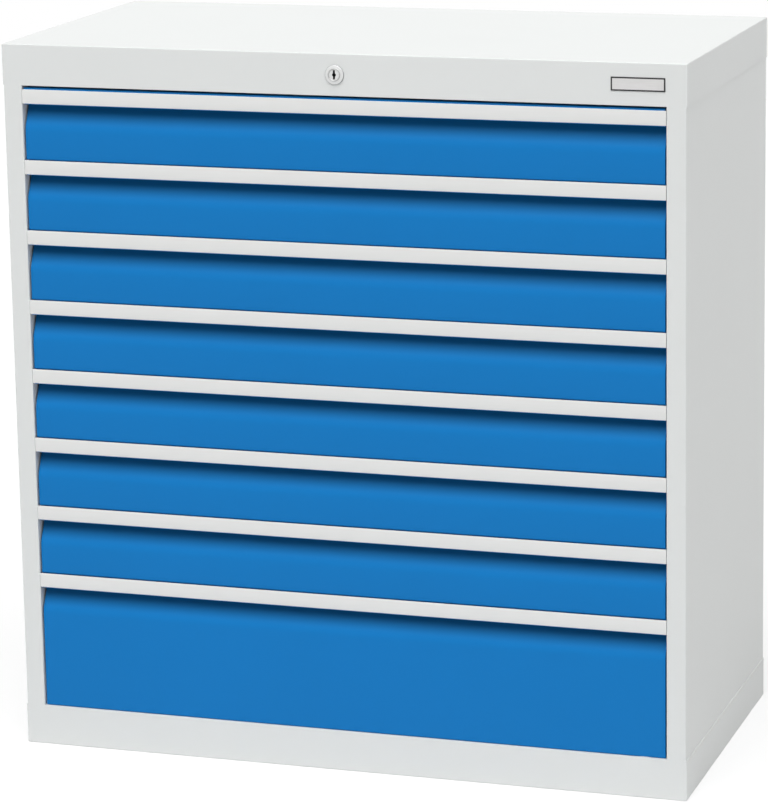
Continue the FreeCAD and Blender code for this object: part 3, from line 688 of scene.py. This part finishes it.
def makeNameplate():
    # rounded rectangles inside each other at their own depths: edge, border, step and bare field
    levels = [
        (0, plateHigh.y),
        (0, plateLow.y + plate["edge"]),
        (plate["edge"], plateLow.y),
        (plate["border"] - plate["edge"], plateLow.y),
        (plate["border"], plateLow.y + plate["relief"]),
    ]
    rings = []
    for inset, y in levels:
        corner = max(plate["corner"] - inset, plate["innerCorner"])
        ring = roundedRectangle(plateHalf.x - inset, plateHalf.z - inset, corner)
        rings.append(np.insert(ring, 1, y, axis=1))
    points = np.stack(rings) + np.array([plateCentre.x, 0, plateCentre.z])
    count = points.shape[1]
    faces = gridFaces(len(levels), count, False, True)
    faces += [list(range(count)), list(range((len(levels) - 1) * count, len(levels) * count))]
    shells = [(points.reshape(-1, 3), faces)]
    makePiece("nameplateBare", shells, "plate_aluminium", "housing", "nameplate")


rivet = {
    "head": 0.004,          # radii
    "shank": 0.002,
    "pin": 0.0011,
    "pinEdge": 0.0001,
    "pinSunk": 0.0003,
    "rise": 0.001,
    "first": 0.130,         # heights of the first one and from one to the next
    "pitch": 0.160,
    "perSide": 6,
    "steps": 28,
    "domeSteps": 7,
}


def makeRivets():
    # a domed head that falls as a quarter ellipse, with the drawn pin's end sunk in its middle
    low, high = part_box("back_panel_rivets")
    sweep = np.linspace(np.pi / 2, 0, rivet["domeSteps"])
    pin, shank, seat = rivet["pin"], rivet["shank"], high.y - rivet["rise"]
    crown = pin + rivet["pinEdge"]
    dome = np.stack([
        crown + (rivet["head"] - crown) * np.cos(sweep),
        seat + rivet["rise"] * np.sin(sweep),
    ], axis=1)
    profile = np.concatenate([
        [(0, high.y - rivet["pinSunk"]), (pin, high.y - rivet["pinSunk"])],
        dome,
        [(shank, seat), (shank, low.y), (0, low.y)],
    ])
    reach = high.x - rivet["head"]
    heights = rivet["first"] + rivet["pitch"] * np.arange(rivet["perSide"])
    x, z = np.meshgrid([-reach, reach], heights)
    centres = np.stack([x.ravel(), 0 * x.ravel(), z.ravel()], axis=1)
    shells = [revolved(profile, centres, rivet["steps"], False)]
    makePiece("rivetHeads", shells, "rivet_steel", "housing", "back_panel_rivets")


makeNameplate()
makeRivets()
print("nameplate and rivets made")


# stage, light and camera

studio = {
    "keyStrength": 1.25,     # in units at which a white face turned to the lamp renders white
    "keyFrom": (0.05, -0.40, 0.92),
    "keySoftness": 60,
    "sideStrength": 0.012,
    "sideFrom": (1.0, -0.15, 0.35),
    "sideSoftness": 40,
    "skyAll": 0.05,
    "skyBehind": 0.5,
    "skyBandTop": (0.7, 0.2),       # the band behind fades out from the second height to the first
    "skyBandFront": (-0.6, 0.4),
    "skyBelow": 1.2,         # as if the floor went on beyond its edge
    "floorWhite": 0.77,
    "floorShadow": 0.35,
    "floorShadowed": 0.9,
    "floorReach": 6,
    "floorDrop": 0.0003,
}


def seenDirectly(finish):
    # 1 for what the camera, mirrors and glass see, 0 for what lights the object
    path = finish.add("LightPath", {}, {}, "Is Camera Ray").socket.node
    kinds = ("Camera", "Glossy", "Transmission")
    rays = [Wire(finish, path.outputs[f"Is {kind} Ray"]) for kind in kinds]
    seen = rays[0] + rays[1] + rays[2]
    seen.socket.node.use_clamp = True
    return seen


def makeWorld():
    # white where it is seen; as light it is a band above the horizon, all round but in front,
    # and a bright half below it
    sky = Finish(bpy.data.worlds.new("studioSky"))
    direction = sky.add("TexCoord", {}, {}, "Generated")
    y, z = sky.parts(direction)[1:]
    band = sky.between(z, *studio["skyBandTop"]) * sky.between(y, *studio["skyBandFront"])
    below = z < 0
    level = studio["skyAll"] + studio["skyBehind"] * band * (1 - below) + studio["skyBelow"] * below
    light = sky.add("Background", {}, {"Color": sky.tinted((1, 1, 1), level), "Strength": 1.0})
    white = sky.add("Background", {}, {"Color": (1, 1, 1), "Strength": 1.0})
    both = sky.add("MixShader", {}, {0: seenDirectly(sky), 1: light, 2: white})
    bpy.context.scene.world = sky.ending(both, "OutputWorld")


def makeFloor():
    # a white floor with a soft shadow, which throws the lamps' light back up
    floor = Finish(bpy.data.materials.new("studioFloor"))
    white = floor.add("Emission", {}, {"Color": (1, 1, 1), "Strength": 1.0})
    matt = floor.add("BsdfDiffuse", {}, {"Color": (studio["floorShadowed"],) * 3})
    bounce = floor.add("BsdfDiffuse", {}, {"Color": (studio["floorWhite"],) * 3})
    shown = floor.add("MixShader", {}, {0: studio["floorShadow"], 1: white, 2: matt})
    floor.ending(floor.add("MixShader", {}, {0: seenDirectly(floor), 1: bounce, 2: shown}))
    reach, z = studio["floorReach"], -studio["floorDrop"]
    points = [(-reach, -reach, z), (reach, -reach, z), (reach, reach, z), (-reach, reach, z)]
    mesh = bpy.data.meshes.new("studioFloor")
    mesh.from_pydata(points, [], [(0, 1, 2, 3)])
    mesh.materials.append(floor.owner)
    sheet = bpy.data.objects.new("studioFloor", mesh)
    bpy.context.scene.collection.objects.link(sheet)


def makeSun(name):
    lamp = bpy.data.lights.new(name + "Sun", "SUN")
    lamp.energy = studio[name + "Strength"] * math.pi
    lamp.angle = math.radians(studio[name + "Softness"])
    sun = bpy.data.objects.new(name + "Sun", lamp)
    sun.rotation_mode = "QUATERNION"
    sun.rotation_quaternion = Vector(studio[name + "From"]).to_track_quat("Z", "Y")
    bpy.context.scene.collection.objects.link(sun)


camera = {
    "place": (1.5952, -4.8499, 1.6916),
    "forward": (-0.2943, 0.9325, -0.2094),
    "up": (-0.0498, 0.2039, 0.9777),
    "lens": 162.40,
    "sensor": 36,
    "shift": (-0.0672, -0.1020),
    "clip": (0.1, 40),
}


def makeCamera():
    view = bpy.data.cameras.new("photoView")
    view.lens = camera["lens"]
    view.sensor_width = camera["sensor"]
    view.shift_x, view.shift_y = camera["shift"]
    view.clip_start, view.clip_end = camera["clip"]
    forward = Vector(camera["forward"]).normalized()
    right = forward.cross(Vector(camera["up"])).normalized()
    up = right.cross(forward)
    turned = Matrix((right, up, -forward)).transposed()
    seat = bpy.data.objects.new("photoView", view)
    seat.rotation_mode = "QUATERNION"
    seat.rotation_quaternion = turned.to_quaternion()
    seat.location = camera["place"]
    bpy.context.scene.collection.objects.link(seat)
    bpy.context.scene.camera = seat


makeWorld()
makeFloor()
makeSun("key")
makeSun("side")
makeCamera()
bpy.context.scene.view_settings.view_transform = "Standard"
print("stage, lights and camera ready")
